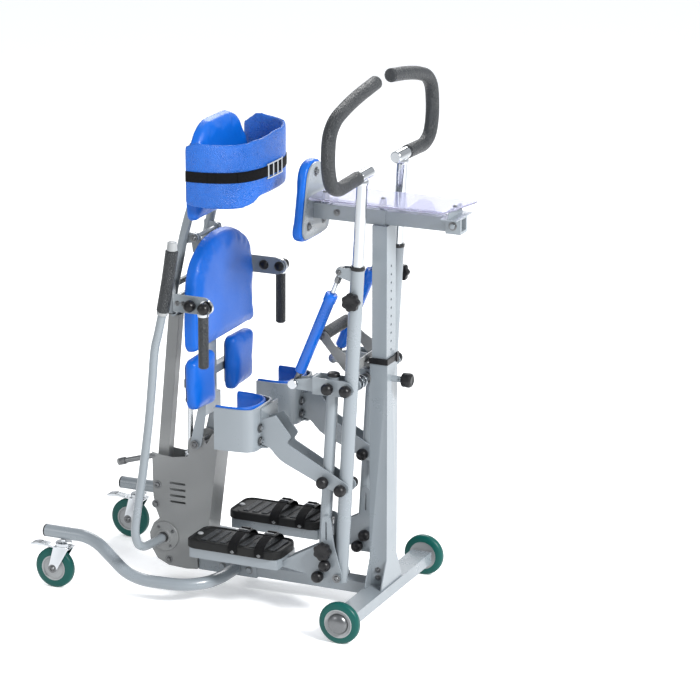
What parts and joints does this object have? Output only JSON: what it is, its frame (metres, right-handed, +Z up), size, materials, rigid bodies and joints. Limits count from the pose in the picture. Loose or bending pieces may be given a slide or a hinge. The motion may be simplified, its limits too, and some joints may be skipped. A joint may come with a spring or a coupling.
{
  "type": "sit to stand lift",
  "caption": "Wheeled standing frame with a folding hydraulic seat, back rest with belt, gliding foot plates with knee cups, swinging handles, tray and chest pad.",
  "frame": {"origin": "centre of the bounding box's underside, on the floor", "axes": "+Z up, +X the way the user faces, +Y the user's left"},
  "size_m": [1.3202, 0.7882, 1.6403],
  "materials": {
    "frame_paint": "satin light grey powder coat",
    "tower_paint": "satin mid grey powder coat",
    "chrome_plate": "bright plated steel",
    "grip_foam": "fine textured foam sleeve",
    "upholstery": "blue grained vinyl over foam",
    "belt_foam": "blue speckled soft foam fabric",
    "damper_blue": "gloss blue lacquer",
    "wheel_tread": "dark green polyurethane",
    "black_plastic": "moulded black plastic",
    "foot_rubber": "ribbed black rubber",
    "tray_clear": "clear acrylic sheet"
  },
  "bodies": {
    "base": {"front_crossbar": "frame_paint", "base_beam": "frame_paint", "column_outer": "frame_paint", "column_collar": "black_plastic", "pivot_shaft": "frame_paint", "roller_bracket": "tower_paint", "roller_grip": "grip_foam", "rear_leg_right": "frame_paint", "rear_leg_left": "frame_paint", "tower_housing": "tower_paint", "hub_flange": "tower_paint", "link_box_right": "frame_paint", "link_box_left": "frame_paint"},
    "mast": {"column_inner": "frame_paint", "tray_beam": "frame_paint", "tray_top": "tray_clear", "chest_plate": "frame_paint", "chest_pad": "upholstery"},
    "latch": {"index_knob": "black_plastic"},
    "seat": {"seat_frame": "frame_paint", "pelvis_pad": "upholstery", "thigh_pad_right": "upholstery", "thigh_pad_left": "upholstery"},
    "back": {"back_frame": "frame_paint", "back_pad": "upholstery", "belt": "belt_foam"},
    "strut": {"rear_link": "tower_paint"},
    "jack": {"jack_cylinder": "chrome_plate"},
    "ram": {"jack_rod": "chrome_plate"},
    "front_wheel_right": {"front_wheel_right": "wheel_tread"},
    "fork_right": {"caster_fork_right": "chrome_plate"},
    "rear_wheel_right": {"caster_wheel_right": "wheel_tread"},
    "brake_right": {"caster_brake_right": "chrome_plate"},
    "lever_right": {"lever_post_right": "frame_paint"},
    "handle_right": {"handle_tube_right": "chrome_plate", "handle_grip_right": "grip_foam"},
    "link_right": {"link_tube_right": "frame_paint"},
    "knee_right": {"knee_bracket_right": "frame_paint", "knee_pad_right": "upholstery"},
    "foot_right": {"foot_frame_right": "frame_paint", "foot_pad_right": "foot_rubber"},
    "damper_right": {"damper_cylinder_right": "damper_blue"},
    "piston_right": {"damper_rod_right": "chrome_plate"},
    "arm_right": {"arm_grip_right": "grip_foam"},
    "front_wheel_left": {"front_wheel_left": "wheel_tread"},
    "fork_left": {"caster_fork_left": "chrome_plate"},
    "rear_wheel_left": {"caster_wheel_left": "wheel_tread"},
    "brake_left": {"caster_brake_left": "chrome_plate"},
    "lever_left": {"lever_post_left": "frame_paint"},
    "handle_left": {"handle_tube_left": "chrome_plate", "handle_grip_left": "grip_foam"},
    "link_left": {"link_tube_left": "frame_paint"},
    "knee_left": {"knee_bracket_left": "frame_paint", "knee_pad_left": "upholstery"},
    "foot_left": {"foot_frame_left": "frame_paint", "foot_pad_left": "foot_rubber"},
    "damper_left": {"damper_cylinder_left": "damper_blue"},
    "piston_left": {"damper_rod_left": "chrome_plate"},
    "arm_left": {"arm_grip_left": "grip_foam"},
    "pump": {"pump_lever": "frame_paint"}
  },
  "joints": [
    {"name": "mast_height", "type": "slide", "parent": "base", "child": "mast", "axis": [0, 0, 1], "range_m": [-0.25, 0.1]},
    {"name": "latch_pull", "type": "slide", "parent": "base", "child": "latch", "axis": [1, 0, 0], "range_m": [0, 0.012], "stiffness_N_per_m": 500},
    {"name": "seat_fold", "type": "hinge", "parent": "base", "child": "seat", "pos_m": [-0.19878, 0, 0.45], "axis": [0, 1, 0], "range_deg": [-75, 0]},
    {"name": "back_level", "type": "hinge", "parent": "seat", "child": "back", "pos_m": [-0.17878, 0, 1.105], "axis": [0, 1, 0], "range_deg": [0, 69]},
    {"name": "strut_swing", "type": "hinge", "parent": "base", "child": "strut", "pos_m": [-0.33378, 0, 0.3], "axis": [0, 1, 0], "range_deg": [-89, 0]},
    {"name": "jack_tilt", "type": "hinge", "parent": "base", "child": "jack", "pos_m": [-0.24878, 0, 0.074], "axis": [0, 1, 0], "range_deg": [-15.2, 0]},
    {"name": "ram_travel", "type": "slide", "parent": "jack", "child": "ram", "axis": [0.0239, 0, 0.9997], "range_m": [-0.113, 0]},
    {"name": "front_wheel_spin_right", "type": "hinge", "parent": "base", "child": "front_wheel_right", "pos_m": [0.40122, -0.319, 0.0635], "axis": [0, 1, 0], "continuous": true},
    {"name": "caster_swivel_right", "type": "hinge", "parent": "base", "child": "fork_right", "pos_m": [-0.55178, -0.246, 0.14], "axis": [0, 0, 1], "continuous": true},
    {"name": "caster_spin_right", "type": "hinge", "parent": "fork_right", "child": "rear_wheel_right", "pos_m": [-0.58278, -0.246, 0.0635], "axis": [0, 1, 0], "continuous": true},
    {"name": "brake_pedal_right", "type": "hinge", "parent": "fork_right", "child": "brake_right", "pos_m": [-0.58028, -0.246, 0.131], "axis": [0, 1, 0], "range_deg": [-10, 0]},
    {"name": "glide_right", "type": "hinge", "parent": "base", "child": "lever_right", "pos_m": [0.36122, -0.144, 0.728], "axis": [0, 1, 0], "range_deg": [-9, 9]},
    {"name": "handle_height_right", "type": "slide", "parent": "lever_right", "child": "handle_right", "axis": [0.056, 0, 0.9984], "range_m": [-0.15, 0.08]},
    {"name": "link_swing_right", "type": "hinge", "parent": "base", "child": "link_right", "pos_m": [0.30322, -0.144, 0.728], "axis": [0, 1, 0], "range_deg": [-9.1, 9.1]},
    {"name": "knee_level_right", "type": "hinge", "parent": "lever_right", "child": "knee_right", "pos_m": [0.34402, -0.144, 0.421], "axis": [0, 1, 0], "range_deg": [-9.1, 9.1]},
    {"name": "foot_level_right", "type": "hinge", "parent": "lever_right", "child": "foot_right", "pos_m": [0.32822, -0.144, 0.1415], "axis": [0, 1, 0], "range_deg": [-9.1, 9.1]},
    {"name": "damper_tilt_right", "type": "hinge", "parent": "base", "child": "damper_right", "pos_m": [0.18222, -0.144, 0.722], "axis": [0, 1, 0], "range_deg": [-7.4, 7.4]},
    {"name": "piston_travel_right", "type": "slide", "parent": "damper_right", "child": "piston_right", "axis": [0.3848, 0, 0.923], "range_m": [-0.0262, 0.0262]},
    {"name": "arm_swing_right", "type": "hinge", "parent": "back", "child": "arm_right", "pos_m": [-0.05278, -0.2635, 0.951], "axis": [0, 1, 0], "range_deg": [-90, 0]},
    {"name": "front_wheel_spin_left", "type": "hinge", "parent": "base", "child": "front_wheel_left", "pos_m": [0.40122, 0.319, 0.0635], "axis": [0, 1, 0], "continuous": true},
    {"name": "caster_swivel_left", "type": "hinge", "parent": "base", "child": "fork_left", "pos_m": [-0.55178, 0.246, 0.14], "axis": [0, 0, 1], "continuous": true},
    {"name": "caster_spin_left", "type": "hinge", "parent": "fork_left", "child": "rear_wheel_left", "pos_m": [-0.58278, 0.246, 0.0635], "axis": [0, 1, 0], "continuous": true},
    {"name": "brake_pedal_left", "type": "hinge", "parent": "fork_left", "child": "brake_left", "pos_m": [-0.58028, 0.246, 0.131], "axis": [0, 1, 0], "range_deg": [-10, 0]},
    {"name": "glide_left", "type": "hinge", "parent": "base", "child": "lever_left", "pos_m": [0.36122, 0.144, 0.728], "axis": [0, 1, 0], "range_deg": [-9, 9]},
    {"name": "handle_height_left", "type": "slide", "parent": "lever_left", "child": "handle_left", "axis": [0.056, 0, 0.9984], "range_m": [-0.15, 0.08]},
    {"name": "link_swing_left", "type": "hinge", "parent": "base", "child": "link_left", "pos_m": [0.30322, 0.144, 0.728], "axis": [0, 1, 0], "range_deg": [-9.1, 9.1]},
    {"name": "knee_level_left", "type": "hinge", "parent": "lever_left", "child": "knee_left", "pos_m": [0.34402, 0.144, 0.421], "axis": [0, 1, 0], "range_deg": [-9.1, 9.1]},
    {"name": "foot_level_left", "type": "hinge", "parent": "lever_left", "child": "foot_left", "pos_m": [0.32822, 0.144, 0.1415], "axis": [0, 1, 0], "range_deg": [-9.1, 9.1]},
    {"name": "damper_tilt_left", "type": "hinge", "parent": "base", "child": "damper_left", "pos_m": [0.18222, 0.144, 0.722], "axis": [0, 1, 0], "range_deg": [-7.4, 7.4]},
    {"name": "piston_travel_left", "type": "slide", "parent": "damper_left", "child": "piston_left", "axis": [0.3848, 0, 0.923], "range_m": [-0.0262, 0.0262]},
    {"name": "arm_swing_left", "type": "hinge", "parent": "back", "child": "arm_left", "pos_m": [-0.05278, 0.2635, 0.951], "axis": [0, 1, 0], "range_deg": [-90, 0]},
    {"name": "pump_stroke", "type": "hinge", "parent": "base", "child": "pump", "pos_m": [-0.30978, -0.05, 0.137], "axis": [0, 1, 0], "range_deg": [-20, 12]}
  ],
  "couplings": [
    {"joint": "back_level", "follows": "seat_fold", "ratio": -0.9078},
    {"joint": "strut_swing", "follows": "seat_fold", "ratio": 1.1726},
    {"joint": "jack_tilt", "follows": "seat_fold", "ratio": 0.1991},
    {"joint": "ram_travel", "follows": "seat_fold", "m_per_rad": 0.0848},
    {"joint": "link_swing_right", "follows": "glide_right", "ratio": 1},
    {"joint": "knee_level_right", "follows": "glide_right", "ratio": -1},
    {"joint": "foot_level_right", "follows": "glide_right", "ratio": -1},
    {"joint": "damper_tilt_right", "follows": "glide_right", "ratio": 0.8065},
    {"joint": "piston_travel_right", "follows": "glide_right", "m_per_rad": 0.1628},
    {"joint": "link_swing_left", "follows": "glide_left", "ratio": 1},
    {"joint": "knee_level_left", "follows": "glide_left", "ratio": -1},
    {"joint": "foot_level_left", "follows": "glide_left", "ratio": -1},
    {"joint": "damper_tilt_left", "follows": "glide_left", "ratio": 0.8065},
    {"joint": "piston_travel_left", "follows": "glide_left", "m_per_rad": 0.1628}
  ]
}
